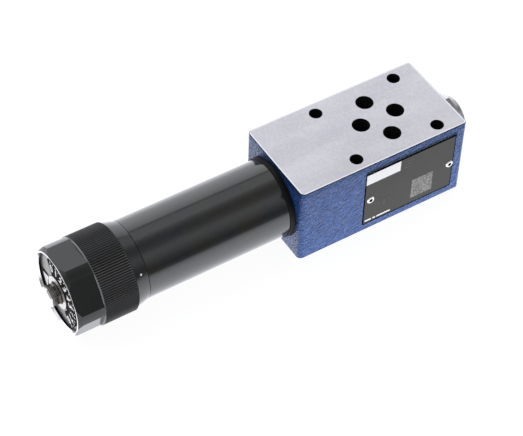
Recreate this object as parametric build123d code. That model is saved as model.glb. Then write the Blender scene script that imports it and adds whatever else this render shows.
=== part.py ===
from build123d import *
import os
from math import cos, pi, radians, sin, sqrt, tan

# Hydraulic sandwich-plate pressure valve, size 6.
# Millimetres. +Z up, +X along the valve's axis from the knob to the end plug, +Y to the back.
# The origin is the centre of the four bolt holes, in the bottom seat face.

# Port pattern of the size 6 sandwich plate (standard hole places, from the pattern's centre)
bolt_x = 20.25              # bolt rows stand this far left and right of the centre
bolt_left_y = 15.5          # half spacing of the left pair
bolt_right_y = 16.25        # half spacing of the right pair
bolt_hole_d = 5.5
port_d = 7.5
port_a_x = -7.55
port_b_x = 9.95
port_pt_x = 1.25
port_pt_y = 10.4            # P at the back, T at the front
seal_seat_d = 12.9          # counterbores in the bottom face
seal_seat_depth = 1.3
port_seal_cord = 1.78

# Block
block_left = 50.75          # from the pattern centre to the left face
block_right = 32.25
block_width = 43.0
block_height = 40.0
block_left_r = 2.2          # upright edges at the housing's end
block_right_r = 1.6
block_top_bevel = 0.2
block_bottom_bevel = 0.25
hole_bevel = 0.2            # broken edge at each hole's mouth
axis_z = 20.0               # height of the valve's axis

# Plate pocket in the front face
pocket_right_margin = 4.9   # to the block's right face
pocket_length = 46.35
pocket_top_margin = 4.8     # to the top face
pocket_height = 31.7
pocket_depth = 0.7
pocket_corner_r = 0.8
plate_gap = 0.15            # plate to pocket wall at the right and below
plate_left_gap = 0.6
plate_top_gap = 0.7
plate_thickness = 0.5
plate_corner_r = 0.5
rivet_left_inset = 3.65     # rivet centres from the pocket's ends
rivet_right_inset = 1.8
rivet_rise = 14.15          # above the pocket's lower edge
rivet_shank_d = 1.9
rivet_head_d = 3.6
rivet_head_height = 0.45
rivet_eye_d = 1.5
rivet_mouth_d = 2.0         # the eye opens out to this at the head
rivet_length = 4.5
rivet_foot_gap = 0.5

# Spool bore and the grooves round it
spool_d = 10.0
spool_clearance = 0.02      # radial running clearance of the spool
groove_r = 7.2
drain_groove_r = 9.2
drain_groove_w = 3.0
drain_land = 3.5            # bore land between the spring chamber and the drain groove
control_land = 3.0          # bore land between the drain groove and the lower A port's groove
low_groove_w = 4.5
high_groove_w = 4.5
drain_y = -10.0             # drilling from the spring chamber to T
drain_d = 3.2
passage_d = 6.4             # cored passages
passage_b_reach = 10.4      # how far passage B swings round the bore
passage_turn_z = 12.5       # height of its turns above and below the axis
passage_lead = 1.0          # straight run past each turn
passage_a_drop = 3.8        # roof of the lower A port below its groove
groove_break = 0.7          # how far the upper A port cuts into its groove

# Screwed-in spring housing
housing_d = 35.0
housing_length = 66.8       # shoulder to the far end of the barrel
housing_bore_d = 23.0
housing_wall = 8.05         # end wall
thread_gap = 0.05           # radial gap between a thread and its hole
housing_thread_d = 30.0
housing_spigot = 12.75      # length screwed into the block
thread_run_out = 1.25       # threaded hole deeper than its spigot
chamber_d = 25.0
chamber_length = 7.75       # past the threaded hole
neck_d = 28.0
neck_length = 11.95
key_width = 4.0
key_depth = 1.6
housing_edge = 0.15
housing_screw_bevel = 0.6
seal_groove_drop = 0.6      # seal neck below the thread
root_ring_wall = 3.05       # from the thread out
root_ring_width = 2.5
root_ring_bevel = 0.2
housing_seal_cord = 1.7
seal_gap = 0.02

# Spindle
spindle_d = 10.0
spindle_gap = 0.05          # radial running clearance in the neck
thread_bevel = 1.0
spindle_past_nut = 1.15     # screw end past the nut at full pressure
collar_d = 18.0
collar_width = 3.5
washer_width = 0.8
stop_gap = 0.15             # end play at the stops
clip_width = 1.0
clip_d = 15.0
clip_groove_d = 8.8
clip_opening = 3.0
spindle_seal_inset = 7.0    # seal from the neck's outer end
spindle_seal_cord = 1.3
spindle_seal_side = 0.1     # seal groove wider than its ring, each side
spindle_hex_af = 8.0
spindle_hex_turn = 30.0     # round from the knob's hexagon
spindle_reach = 4.3         # hexagon end past the knob's front edge
spindle_tip_bevel = 0.8
hex_drive_gap = 0.06

# Adjusting nut and main spring
nut_length = 10.0
nut_rim_gap = 0.1
nut_thread_gap = 0.08
nut_collar_space = 1.0      # nut to spindle collar with the spring relaxed
nut_travel = 8.25           # five and a half turns of a 1.5 mm lead
lug_gap = 0.15              # each side of a lug in its keyway
pilot_taper = 0.4
nut_pilot_length = 3.0
spring_wire = 3.2
spring_mean_d = 16.8
spring_turns = 12
spring_seat_gap = 0.1

# Knob
knob_back_gap = 0.2
knob_back_d = 35.2
knob_d = 39.1
knob_cone_length = 5.7
knurl_length = 15.8
knurl_ridges = 116
knurl_depth = 0.45
knurl_edge = 0.4            # bevel at each end of the band
knurl_under = 0.2           # bevel's foot below the knurl's roots
hex_af = 36.0
hex_length = 11.8
hex_turn = 85.9             # direction of one flat's normal, from +Y towards +Z, in degrees
hex_body_d = 39.05
front_bevel_length = 1.8
front_bevel_step = 1.15
set_screw_back = 2.0        # set screw's middle to the hexagon's back edge
set_screw_turn = 210.0      # its direction, round from the knob's flat at hex_turn
set_screw_d = 3.0
set_screw_length = 8.0
set_screw_socket_af = 1.5
set_screw_socket_depth = 1.6
knob_cavity_gap = 0.3       # round the neck
clip_space = 3.0            # hollow past the neck, round the clip
dial_recess_d = 34.4
dial_recess_depth = 2.95
dial_mouth_step = 0.45      # the recess opens out by this much at the front
dial_mouth_depth = 1.25
dial_thickness = 0.7
dial_gap = 0.15
scale_rise = 1.75           # the numbered band stands up from the rest of the dial
scale_inner_r = 8.2
scale_outer_r = 15.4
scale_start = 62.0          # the band's ends, from +Y towards +Z, in degrees
scale_end = 228.0
hub_d = 15.0
hub_bevel = 0.15

# End plug with its gauge port
plug_thread_d = 20.0
plug_thread_length = 13.5
plug_run_out = 0.5
plug_hex_margin = 2.0       # across flats, past the thread
plug_hex_length = 7.9
plug_face_step = 0.3        # chamfer circle inside the hexagon's flats
hex_chamfer_angle = 30.0
plug_seal_cord = 1.8
plug_seal_seat = 1.8
gauge_thread_d = 13.16
gauge_depth = 12.0
gauge_drill_d = 4.0
gauge_spigot_length = 9.5
gauge_flange_d = 18.8
gauge_flange_height = 3.0
gauge_flange_bevel = 0.6
gauge_socket_af = 6.0
gauge_socket_depth = 7.0
gauge_seal_width = 0.6
gauge_seal_depth = 0.5

# Spool and spring plate
spool_reach = 6.5           # nose past the bore into the spring chamber
spool_stop_gap = 0.3        # to the end plug at rest
spool_neck_d = 6.4          # waist between the lands
relief_overlap = 1.3        # waist's near end inside the lower groove at rest
control_opening = 3.3       # waist's far end open to the upper groove at rest
spool_edge = 0.5
spool_nose_d = 6.0
spool_nose_length = 5.0
spool_balance_w = 0.6       # small balancing grooves on the guide land
spool_balance_depth = 0.4
spool_balance_pitch = 4.0
spool_balance_count = 4
spool_balance_inset = 6.5   # first groove past the waist
pilot_bore_d = 3.0
pilot_cross_d = 2.0
orifice_d = 4.0
orifice_length = 5.0
orifice_hole_d = 0.8
orifice_sink = 0.3
orifice_slot = 0.7
seat_plate_d = 21.0
seat_plate_width = 3.0
seat_plate_pilot_length = 3.5
seat_plate_pocket = 1.4
pilot_fit = 0.25            # spring pilots to the spring's inside

# Worked-out places
plug_af = plug_thread_d + plug_hex_margin
block_x0 = -block_left
pocket_x0 = block_right - pocket_right_margin - pocket_length
pocket_z0 = block_height - pocket_top_margin - pocket_height
pocket_floor = -block_width / 2 + pocket_depth
housing_shoulder = block_x0 - root_ring_width
housing_end = housing_shoulder - housing_length
housing_wall_end = housing_end + housing_wall
housing_thread_end = block_x0 + housing_spigot
neck_end = housing_end - neck_length
thread_hole_end = housing_thread_end + thread_run_out
chamber_end = thread_hole_end + chamber_length
drain_groove_x = chamber_end + drain_land
low_groove_x = drain_groove_x + drain_groove_w + control_land
high_groove_x = port_a_x - high_groove_w / 2
spool_left = chamber_end - spool_reach
spool_waist_x = low_groove_x + relief_overlap
spool_waist_end = high_groove_x + control_opening
knob_back = housing_end - knob_back_gap
knob_cavity_end = neck_end - clip_space
knurl_start = knob_back - knob_cone_length
hex_start = knurl_start - knurl_length
knob_front = hex_start - hex_length
dial_floor = knob_front + dial_recess_depth
dial_front = dial_floor - dial_thickness - scale_rise
spindle_tip = knob_front - spindle_reach
spindle_seal_x = neck_end + spindle_seal_inset
plug_nose = block_right - plug_thread_length
spool_right = plug_nose - spool_stop_gap
collar_face = housing_wall_end + washer_width + 2 * stop_gap
nut_back = collar_face + collar_width + nut_collar_space
nut_face = nut_back + nut_length
seat_face = spool_left - seat_plate_width + seat_plate_pocket
spindle_thread_end = nut_face + nut_pilot_length + nut_travel + spindle_past_nut
spring_bore_d = spring_mean_d - spring_wire


def turned(*points):
    """A solid turned about the valve's axis from (place along the axis, radius) points."""
    profile = make_face(Polyline(*points, close=True))
    solid = revolve(Plane.XY * profile, Axis.X, 360)
    return Pos(0, 0, axis_z) * solid


def rod(x0, x1, diameter):
    """A plain round bar on the valve's axis."""
    return turned((x0, 0), (x0, diameter / 2), (x1, diameter / 2), (x1, 0))


def sleeve(x0, x1, outer_d, inner_d):
    """A plain round tube on the valve's axis."""
    return turned((x0, inner_d / 2), (x0, outer_d / 2), (x1, outer_d / 2), (x1, inner_d / 2))


def bar_across(profile, x0, x1):
    """A flat outline drawn across the axis (Y, Z from the axis) and run from x0 to x1."""
    plane = Plane(origin=(x0, 0, axis_z), x_dir=(0, 1, 0), z_dir=(1, 0, 0))
    return extrude(plane * profile, x1 - x0)


def hexagon(across_flats, flat_angle):
    """Hexagon outline with one flat's normal at flat_angle from +Y towards +Z."""
    corner = across_flats / 2 / cos(radians(30))
    return Rot(0, 0, flat_angle + 30) * RegularPolygon(corner, 6)


def o_ring(x, mean_d, cord):
    """A round-section ring about the valve's axis."""
    section = Pos(x, mean_d / 2) * Circle(cord / 2)
    return Pos(0, 0, axis_z) * revolve(section, Axis.X, 360)


def drilling(x, y, z0, z1, diameter):
    """An upright round hole."""
    return Pos(x, y, z0) * Cylinder(diameter / 2, z1 - z0, align=(Align.CENTER, Align.CENTER, Align.MIN))


def bolt_places():
    """Centres of the four bolt holes."""
    return [
        (-bolt_x, -bolt_left_y),
        (-bolt_x, bolt_left_y),
        (bolt_x, -bolt_right_y),
        (bolt_x, bolt_right_y),
    ]


def port_places():
    """Centres of ports A, B, P and T."""
    return [(port_a_x, 0), (port_b_x, 0), (port_pt_x, port_pt_y), (port_pt_x, -port_pt_y)]


def block_blank():
    """The block with its rounded upright edges and bevelled top and bottom edges."""
    centre_x = (block_right - block_left) / 2
    outline = Rectangle(block_left + block_right, block_width)
    outline = fillet(outline.vertices().sort_by(Axis.X)[:2], block_left_r)
    outline = fillet(outline.vertices().sort_by(Axis.X)[-2:], block_right_r)
    blank = extrude(Pos(centre_x, 0) * outline, block_height)
    blank = chamfer(blank.faces().sort_by(Axis.Z)[-1].edges(), block_top_bevel)
    return chamfer(blank.faces().sort_by(Axis.Z)[0].edges(), block_bottom_bevel)


def plate_pocket():
    """The shallow pocket for the name plate, open to the front."""
    centre = (pocket_x0 + pocket_length / 2, pocket_floor, pocket_z0 + pocket_height / 2)
    plane = Plane(origin=centre, x_dir=(1, 0, 0), z_dir=(0, -1, 0))
    outline = RectangleRounded(pocket_length, pocket_height, pocket_corner_r)
    return extrude(plane * outline, 2 * pocket_depth)


def spool_bore_cuts():
    """Bore, grooves, spring chamber and plug chamber, all turned about the axis."""
    seal_seat = housing_thread_d + 2 * (housing_seal_cord - seal_groove_drop - thread_gap)
    plug_seat = plug_thread_d + plug_seal_cord
    return [
        rod(chamber_end, block_right, spool_d),
        rod(block_x0, thread_hole_end, housing_thread_d),
        rod(block_x0, block_x0 + housing_seal_cord, seal_seat),
        rod(thread_hole_end, chamber_end, chamber_d),
        rod(drain_groove_x, drain_groove_x + drain_groove_w, 2 * drain_groove_r),
        rod(low_groove_x, low_groove_x + low_groove_w, 2 * groove_r),
        rod(high_groove_x, high_groove_x + high_groove_w, 2 * groove_r),
        rod(plug_nose - plug_run_out, block_right, plug_thread_d),
        rod(block_right - plug_seal_seat, block_right, plug_seat),
    ]


def passage_b():
    """Port B's cored passage, which swings behind the spool bore from face to face."""
    low = axis_z - passage_turn_z
    high = axis_z + passage_turn_z
    path = Spline(
        (port_b_x, 0, low - passage_lead),
        (port_b_x, 0, low),
        (port_b_x, passage_b_reach, axis_z),
        (port_b_x, 0, high),
        (port_b_x, 0, high + passage_lead),
        tangents=((0, 0, 1), (0, 0, 1)),
    )
    start = Plane(origin=(port_b_x, 0, low - passage_lead), x_dir=(1, 0, 0), z_dir=(0, 0, 1))
    return sweep(start * Circle(passage_d / 2), path=path)


def passage_a():
    """The lower A port's cored passage, slanting to the groove on the spring side."""
    roof = axis_z - groove_r - passage_a_drop
    run_x = low_groove_x + low_groove_w / 2 - port_a_x
    run_z = axis_z - spool_d / 2 - roof
    start = Plane(origin=(port_a_x, 0, roof), z_dir=(run_x, 0, run_z))
    return extrude(start * Circle(low_groove_w / 2), sqrt(run_x ** 2 + run_z ** 2))


def port_cuts():
    """The four ports: P and T straight through, A and B from both faces."""
    upper_end = axis_z + groove_r - groove_break
    lower_end = axis_z - groove_r - passage_a_drop
    return [
        drilling(port_pt_x, port_pt_y, 0, block_height, port_d),
        drilling(port_pt_x, -port_pt_y, 0, block_height, port_d),
        drilling(port_a_x, 0, upper_end, block_height, port_d),
        drilling(port_a_x, 0, 0, lower_end, port_d),
        drilling(port_b_x, 0, axis_z + passage_turn_z, block_height, port_d),
        drilling(port_b_x, 0, 0, axis_z - passage_turn_z, port_d),
        passage_a(),
        passage_b(),
    ]


def drain_drilling():
    """The drilling that leads oil from the spring chamber to port T."""
    start = Plane(origin=(chamber_end - 1, drain_y, axis_z), z_dir=(1, 0, 0))
    return extrude(start * Circle(drain_d / 2), port_pt_x - chamber_end + 1)


def hole_mouths():
    """The broken edges round the port and bolt holes in the top face and the bolt holes below."""
    cuts = []
    holes = [(x, y, port_d) for x, y in port_places()] + [(x, y, bolt_hole_d) for x, y in bolt_places()]
    for x, y, diameter in holes:
        top = Cone(diameter / 2, diameter / 2 + hole_bevel, hole_bevel)
        cuts.append(Pos(x, y, block_height - hole_bevel / 2) * top)
    for x, y in bolt_places():
        low = Cone(bolt_hole_d / 2 + hole_bevel, bolt_hole_d / 2, hole_bevel)
        cuts.append(Pos(x, y, hole_bevel / 2) * low)
    return cuts


def rivet_places():
    """Centres of the two rivets on the front face."""
    z = pocket_z0 + rivet_rise
    return [(pocket_x0 + rivet_left_inset, z), (pocket_x0 + pocket_length - rivet_right_inset, z)]


def front_bar(x, z, y0, y1, diameter):
    """A round bar that runs from y0 back to y1 at a place on the front face."""
    start = Plane(origin=(x, y0, z), z_dir=(0, 1, 0))
    return extrude(start * Circle(diameter / 2), y1 - y0)


def valve_body():
    """The cast block with every bore, port, groove, passage and pocket."""
    cuts = spool_bore_cuts() + port_cuts() + [drain_drilling(), plate_pocket()]
    cuts += [drilling(x, y, 0, block_height, bolt_hole_d) for x, y in bolt_places()]
    cuts += [drilling(x, y, 0, seal_seat_depth, seal_seat_d) for x, y in port_places()]
    cuts += hole_mouths()
    rivet_end = pocket_floor + rivet_length
    cuts += [front_bar(x, z, pocket_floor, rivet_end, rivet_shank_d) for x, z in rivet_places()]
    return block_blank() - cuts


def port_seals():
    """Four rings in the bottom counterbores, pressed level with the seat face."""
    width = port_seal_cord ** 2 * pi / 4 / seal_seat_depth
    mean_r = seal_seat_d / 2 - seal_gap - width / 2
    section = Pos(mean_r, seal_seat_depth / 2) * RectangleRounded(width, seal_seat_depth - seal_gap, 0.5)
    ring = revolve(Plane.XZ * section, Axis.Z, 360)
    return Compound([Pos(x, y, 0) * ring for x, y in port_places()])


def name_plate():
    """The plate, set low and to the right in its pocket, with a round hole for each rivet."""
    length = pocket_length - plate_left_gap - plate_gap
    height = pocket_height - plate_top_gap - plate_gap
    centre = (pocket_x0 + plate_left_gap + length / 2, pocket_floor, pocket_z0 + plate_gap + height / 2)
    plane = Plane(origin=centre, x_dir=(1, 0, 0), z_dir=(0, -1, 0))
    outline = RectangleRounded(length, height, plate_corner_r)
    plate = extrude(plane * outline, plate_thickness)
    hole_d = rivet_shank_d + 2 * thread_gap
    front = pocket_floor - plate_thickness
    holes = [front_bar(x, z, front, pocket_floor, hole_d) for x, z in rivet_places()]
    return plate - holes


def plate_rivets():
    """Two rivets with domed, eyed heads."""
    seat_y = pocket_floor - plate_thickness
    head_r = rivet_head_d / 2
    shank_r = rivet_shank_d / 2 - thread_gap
    foot = plate_thickness + rivet_length - rivet_foot_gap
    outline = make_face(
        [
            Line((rivet_eye_d / 2, foot), (rivet_eye_d / 2, 0)),
            Line((rivet_eye_d / 2, 0), (rivet_mouth_d / 2, -rivet_head_height)),
            Line((rivet_mouth_d / 2, -rivet_head_height), (head_r * 0.6, -rivet_head_height)),
            ThreePointArc(
                (head_r * 0.6, -rivet_head_height),
                (head_r * 0.9, -rivet_head_height * 0.62),
                (head_r, 0),
            ),
            Line((head_r, 0), (shank_r, 0)),
            Line((shank_r, 0), (shank_r, foot)),
            Line((shank_r, foot), (rivet_eye_d / 2, foot)),
        ]
    )
    rivet = revolve(outline, Axis.Y, 360)
    return Compound([Pos(x, seat_y, z) * rivet for x, z in rivet_places()])


def root_ring():
    """The black ring clamped between the block and the housing's shoulder."""
    inner = housing_thread_d / 2 + thread_gap
    r = inner + root_ring_wall
    x0 = housing_shoulder
    x1 = block_x0
    b = root_ring_bevel
    return turned((x0, inner), (x0, r - b), (x0 + b, r), (x1 - b, r), (x1, r - b), (x1, inner))


def spring_housing():
    """The tube: screw spigot, barrel, end wall and neck, with two inside keyways."""
    r = housing_d / 2
    screw_r = housing_thread_d / 2 - thread_gap
    seal_neck_r = screw_r - seal_groove_drop
    groove_end = block_x0 + housing_seal_cord
    bore_r = housing_bore_d / 2
    spindle_r = spindle_d / 2 + spindle_gap
    neck_r = neck_d / 2
    e = housing_edge
    b = housing_screw_bevel
    body = turned(
        (housing_thread_end, bore_r),
        (housing_thread_end, screw_r - b),
        (housing_thread_end - b, screw_r),
        (groove_end, screw_r),
        (groove_end, seal_neck_r),
        (block_x0, seal_neck_r),
        (block_x0, screw_r),
        (housing_shoulder, screw_r),
        (housing_shoulder, r - e),
        (housing_shoulder - e, r),
        (housing_end + e, r),
        (housing_end, r - e),
        (housing_end, neck_r),
        (neck_end + b, neck_r),
        (neck_end, neck_r - b),
        (neck_end, spindle_r),
        (housing_wall_end, spindle_r),
        (housing_wall_end, bore_r),
    )
    way = Rectangle(housing_bore_d + 2 * key_depth, key_width)
    way_start = nut_back - nut_collar_space
    keyways = bar_across(way, way_start, housing_thread_end)
    return body - (keyways - rod(way_start, housing_thread_end, housing_bore_d))


def housing_seal():
    """O-ring in the block's mouth, round the housing's spigot."""
    neck = housing_thread_d - 2 * (thread_gap + seal_groove_drop)
    cord = housing_seal_cord - 2 * seal_gap
    return o_ring(block_x0 + housing_seal_cord / 2, neck + housing_seal_cord, cord)


def thrust_washer():
    """Washer that takes the spring's push between the spindle's collar and the end wall."""
    x0 = housing_wall_end + stop_gap
    return sleeve(x0, x0 + washer_width, collar_d, spindle_d + 4 * spindle_gap)


def adjusting_spindle():
    """Screw end, thrust collar, sealed journal and hexagon end."""
    r = spindle_d / 2
    seal_r = r - spindle_seal_cord - seal_gap
    half = spindle_seal_cord / 2 + spindle_seal_side
    hex_root = knob_cavity_end + hex_drive_gap
    clip_x1 = neck_end - stop_gap
    clip_x0 = clip_x1 - clip_width
    shaft = turned(
        (spindle_thread_end, 0),
        (spindle_thread_end, r - thread_bevel),
        (spindle_thread_end - thread_bevel, r),
        (collar_face + collar_width, r),
        (collar_face + collar_width, collar_d / 2),
        (collar_face, collar_d / 2),
        (collar_face, r),
        (spindle_seal_x + half, r),
        (spindle_seal_x + half, seal_r),
        (spindle_seal_x - half, seal_r),
        (spindle_seal_x - half, r),
        (clip_x1, r),
        (clip_x1, clip_groove_d / 2),
        (clip_x0, clip_groove_d / 2),
        (clip_x0, r),
        (hex_root, r),
        (hex_root, 0),
    )
    tip_r = r - spindle_tip_bevel
    shape = turned(
        (hex_root, 0),
        (hex_root, r),
        (spindle_tip + spindle_tip_bevel, r),
        (spindle_tip, tip_r),
        (spindle_tip, 0),
    )
    tip = shape & bar_across(hexagon(spindle_hex_af, hex_turn + spindle_hex_turn), spindle_tip, hex_root)
    return shaft + tip


def spindle_seal():
    """O-ring in the spindle's groove."""
    cord = spindle_seal_cord - 2 * seal_gap
    return o_ring(spindle_seal_x, spindle_d - 2 * seal_gap - cord, cord)


def spindle_clip():
    """Retaining ring that keeps the spindle in the neck, open at one side."""
    x1 = neck_end - stop_gap
    ring = sleeve(x1 - clip_width, x1, clip_d, clip_groove_d + 2 * seal_gap)
    gap = Pos(0, -clip_d / 2) * Rectangle(clip_opening, clip_d)
    return ring - bar_across(gap, x1 - clip_width, x1)


def adjusting_nut():
    """The travelling nut with its two guide lugs and the spring's pilot."""
    rim_r = housing_bore_d / 2 - nut_rim_gap
    bore_r = spindle_d / 2 + nut_thread_gap
    pilot_r = spring_bore_d / 2 - pilot_fit
    nut = turned(
        (nut_back, bore_r),
        (nut_back, rim_r),
        (nut_face, rim_r),
        (nut_face, pilot_r),
        (nut_face + nut_pilot_length, pilot_r - pilot_taper),
        (nut_face + nut_pilot_length, bore_r),
    )
    lug_span = housing_bore_d + 2 * (key_depth - lug_gap)
    lugs = bar_across(Rectangle(lug_span, key_width - 2 * lug_gap), nut_back, nut_face)
    return nut + (lugs - rod(nut_back, nut_face, spring_mean_d))


def main_spring():
    """Round-wire compression spring with ground end turns."""
    x0 = nut_face + spring_seat_gap
    x1 = seat_face - spring_seat_gap
    length = x1 - x0
    pitch = length / (spring_turns - 1)
    r = spring_mean_d / 2
    coil = Helix(pitch, pitch * spring_turns, r)
    start = Plane(origin=coil @ 0, z_dir=coil % 0)
    wire = sweep(start * Circle(spring_wire / 2), path=coil)
    wire = Pos(x0 - pitch / 2, 0, axis_z) * Rot(0, 90, 0) * wire
    slab = sleeve(x0, x1, 2 * spring_mean_d, spring_mean_d / 2)
    return wire & slab


def spring_plate():
    """Plate on the spool's nose that carries the spring."""
    r = seat_plate_d / 2
    pilot_r = spring_bore_d / 2 - pilot_fit
    nose_r = spool_nose_d / 2 + seal_gap
    x1 = seat_face + seat_plate_width
    x0 = seat_face
    return turned(
        (x0 - seat_plate_pilot_length, 0),
        (x0 - seat_plate_pilot_length, pilot_r - pilot_taper),
        (x0, pilot_r),
        (x0, r - pilot_taper),
        (x0 + pilot_taper, r),
        (x1 - pilot_taper, r),
        (x1, r - pilot_taper),
        (x1, nose_r),
        (x1 - seat_plate_pocket, nose_r),
        (x1 - seat_plate_pocket, 0),
    )


def control_spool():
    """The spool: nose, control land, waist, long guide land with balancing grooves, pilot holes."""
    r = spool_d / 2 - spool_clearance
    nose_end = spool_left + spool_nose_length
    points = [
        (spool_left, 0),
        (spool_left, spool_nose_d / 2 - spool_edge),
        (spool_left + spool_edge, spool_nose_d / 2),
        (nose_end, spool_nose_d / 2),
        (nose_end + spool_edge, r),
        (spool_waist_x, r),
        (spool_waist_x, spool_neck_d / 2),
        (spool_waist_end, spool_neck_d / 2),
        (spool_waist_end, r),
    ]
    for i in range(spool_balance_count):
        x = spool_waist_end + spool_balance_inset + i * spool_balance_pitch
        points += [
            (x, r),
            (x, r - spool_balance_depth),
            (x + spool_balance_w, r - spool_balance_depth),
            (x + spool_balance_w, r),
        ]
    points += [(spool_right - spool_edge, r), (spool_right, r - spool_edge), (spool_right, 0)]
    cross_x = (spool_waist_x + spool_waist_end) / 2
    cross = Pos(cross_x, 0, axis_z) * Cylinder(pilot_cross_d / 2, spool_d)
    cuts = [
        rod(cross_x, spool_right, pilot_bore_d),
        rod(spool_right - orifice_length, spool_right, orifice_d),
        cross,
    ]
    return turned(*points) - cuts


def pilot_orifice():
    """Nozzle screwed into the spool's end, with a small driver slot."""
    x0 = spool_right - orifice_length
    x1 = spool_right - orifice_sink
    nozzle = sleeve(x0, x1, orifice_d - 2 * seal_gap, orifice_hole_d)
    slot = bar_across(Rectangle(orifice_d, orifice_slot), x1 - orifice_slot, x1)
    return nozzle - slot


def end_plug():
    """Screw plug with an outside hexagon and a gauge port through it."""
    screw_r = plug_thread_d / 2 - thread_gap
    neck_r = plug_thread_d / 2 - plug_seal_cord / 2
    corner = plug_af / 2 / cos(radians(30))
    x1 = block_right + plug_hex_length
    gauge_r = gauge_thread_d / 2
    drill_r = gauge_drill_d / 2
    face_r = plug_af / 2 - plug_face_step
    slope = (corner - face_r) * tan(radians(hex_chamfer_angle))
    head = turned(
        (block_right, 0),
        (block_right, face_r),
        (block_right + slope, corner),
        (x1 - slope, corner),
        (x1, face_r),
        (x1, 0),
    )
    head = head & bar_across(hexagon(plug_af, 0), block_right, x1)
    spigot = turned(
        (plug_nose, 0),
        (plug_nose, screw_r - thread_bevel),
        (plug_nose + thread_bevel, screw_r),
        (block_right - plug_seal_seat, screw_r),
        (block_right - plug_seal_seat, neck_r),
        (block_right, neck_r),
        (block_right, 0),
    )
    port = turned(
        (plug_nose, 0),
        (plug_nose, drill_r),
        (x1 - gauge_depth - gauge_r + drill_r, drill_r),
        (x1 - gauge_depth, gauge_r),
        (x1, gauge_r),
        (x1, 0),
    )
    seat = rod(x1 - gauge_seal_depth, x1, gauge_thread_d + 4 * gauge_seal_width)
    return head + spigot - port - seat


def end_plug_seal():
    """O-ring under the end plug's hexagon."""
    cord = plug_seal_cord - 2 * seal_gap
    mean_d = plug_thread_d
    return o_ring(block_right - plug_seal_seat / 2, mean_d, cord)


def gauge_plug():
    """Flanged screw plug of the gauge port, with a hexagon socket."""
    seat = block_right + plug_hex_length
    x1 = seat + gauge_flange_height
    screw_r = gauge_thread_d / 2 - thread_gap
    r = gauge_flange_d / 2
    b = gauge_flange_bevel
    plug = turned(
        (seat - gauge_spigot_length, 0),
        (seat - gauge_spigot_length, screw_r - thread_bevel),
        (seat - gauge_spigot_length + thread_bevel, screw_r),
        (seat, screw_r),
        (seat, r),
        (x1 - b, r),
        (x1, r - b),
        (x1, 0),
    )
    socket = bar_across(hexagon(gauge_socket_af, 0), x1 - gauge_socket_depth, x1)
    return plug - socket


def gauge_plug_seal():
    """Flat ring under the gauge plug's flange."""
    x1 = block_right + plug_hex_length
    outer = gauge_thread_d + 4 * gauge_seal_width - 2 * seal_gap
    return sleeve(x1 - gauge_seal_depth + seal_gap, x1 - seal_gap, outer, gauge_thread_d + 2 * seal_gap)


def knurl_outline():
    """Outline of the knurled band: a star of pointed ridges."""
    outer = knob_d / 2
    inner = outer - knurl_depth
    step = 2 * pi / knurl_ridges
    points = []
    for i in range(knurl_ridges):
        a = i * step
        points.append((outer * cos(a), outer * sin(a)))
        points.append((inner * cos(a + step / 2), inner * sin(a + step / 2)))
    return make_face(Polyline(*points, close=True))


def knurled_band():
    """The band with its straight knurl and bevelled ends."""
    outer = knob_d / 2
    low = outer - knurl_depth - knurl_under
    core = turned(
        (hex_start, 0),
        (hex_start, low),
        (hex_start + knurl_edge, outer),
        (knurl_start - knurl_edge, outer),
        (knurl_start, low),
        (knurl_start, 0),
    )
    return core & bar_across(knurl_outline(), hex_start, knurl_start)


def knob_hexagon():
    """The hexagon front end, its corners left round, with a bevelled front edge."""
    r = hex_body_d / 2
    body = turned(
        (knob_front, 0),
        (knob_front, r - front_bevel_step),
        (knob_front + front_bevel_length, r),
        (hex_start, r),
        (hex_start, 0),
    )
    return body & bar_across(hexagon(hex_af, hex_turn), knob_front, hex_start)


def drive_hole(x0, x1):
    """The hexagon hole that fits over the spindle's end."""
    hole = bar_across(hexagon(spindle_hex_af + 2 * hex_drive_gap, hex_turn + spindle_hex_turn), x0, x1)
    return hole & rod(x0, x1, spindle_d + 2 * hex_drive_gap)


def set_screw_bar(outline, r0, r1):
    """An outline run outwards from r0 to r1 from the axis, where the set screw stands."""
    a = radians(hex_turn + set_screw_turn)
    x = hex_start - set_screw_back
    start = Plane(origin=(x, r0 * cos(a), axis_z + r0 * sin(a)), x_dir=(1, 0, 0), z_dir=(0, cos(a), sin(a)))
    return extrude(start * outline, r1 - r0)


def knob_set_screw():
    """Headless screw with a hexagon socket that holds the knob to the spindle's hexagon."""
    r0 = spindle_hex_af / 2 + hex_drive_gap
    r1 = r0 + set_screw_length
    screw = set_screw_bar(Circle(set_screw_d / 2 - thread_gap), r0, r1)
    return screw - set_screw_bar(hexagon(set_screw_socket_af, 0), r1 - set_screw_socket_depth, r1)


def knob():
    """The knob: coned back, knurled band, hexagon, dial recess and the hollow round the neck."""
    cone = turned(
        (knurl_start, 0),
        (knurl_start, knob_d / 2 - knurl_depth),
        (knob_back, knob_back_d / 2),
        (knob_back, 0),
    )
    recess_r = dial_recess_d / 2
    recess = turned(
        (knob_front, 0),
        (knob_front, recess_r + dial_mouth_step),
        (knob_front + dial_mouth_depth, recess_r),
        (dial_floor, recess_r),
        (dial_floor, 0),
    )
    cavity = rod(knob_cavity_end, knob_back, neck_d + 2 * knob_cavity_gap)
    drive = drive_hole(dial_floor, knob_cavity_end)
    screw_hole = set_screw_bar(Circle(set_screw_d / 2), 0, knob_d / 2)
    return cone + knurled_band() + knob_hexagon() - recess - cavity - drive - screw_hole


def dial_disc():
    """The dial, a ring on the floor of the knob's recess, with a raised band for the scale."""
    x0 = dial_floor - dial_thickness
    base = sleeve(x0, dial_floor, dial_recess_d - 2 * dial_gap, hub_d + 2 * dial_gap)
    steps = 4
    angles = [radians(scale_start + (scale_end - scale_start) * i / steps) for i in range(steps + 1)]
    fan = Polyline((0, 0), *[(knob_d * cos(a), knob_d * sin(a)) for a in angles], close=True)
    band = sleeve(dial_front, x0, 2 * scale_outer_r, 2 * scale_inner_r)
    return base + (band & bar_across(make_face(fan), dial_front, x0))


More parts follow.
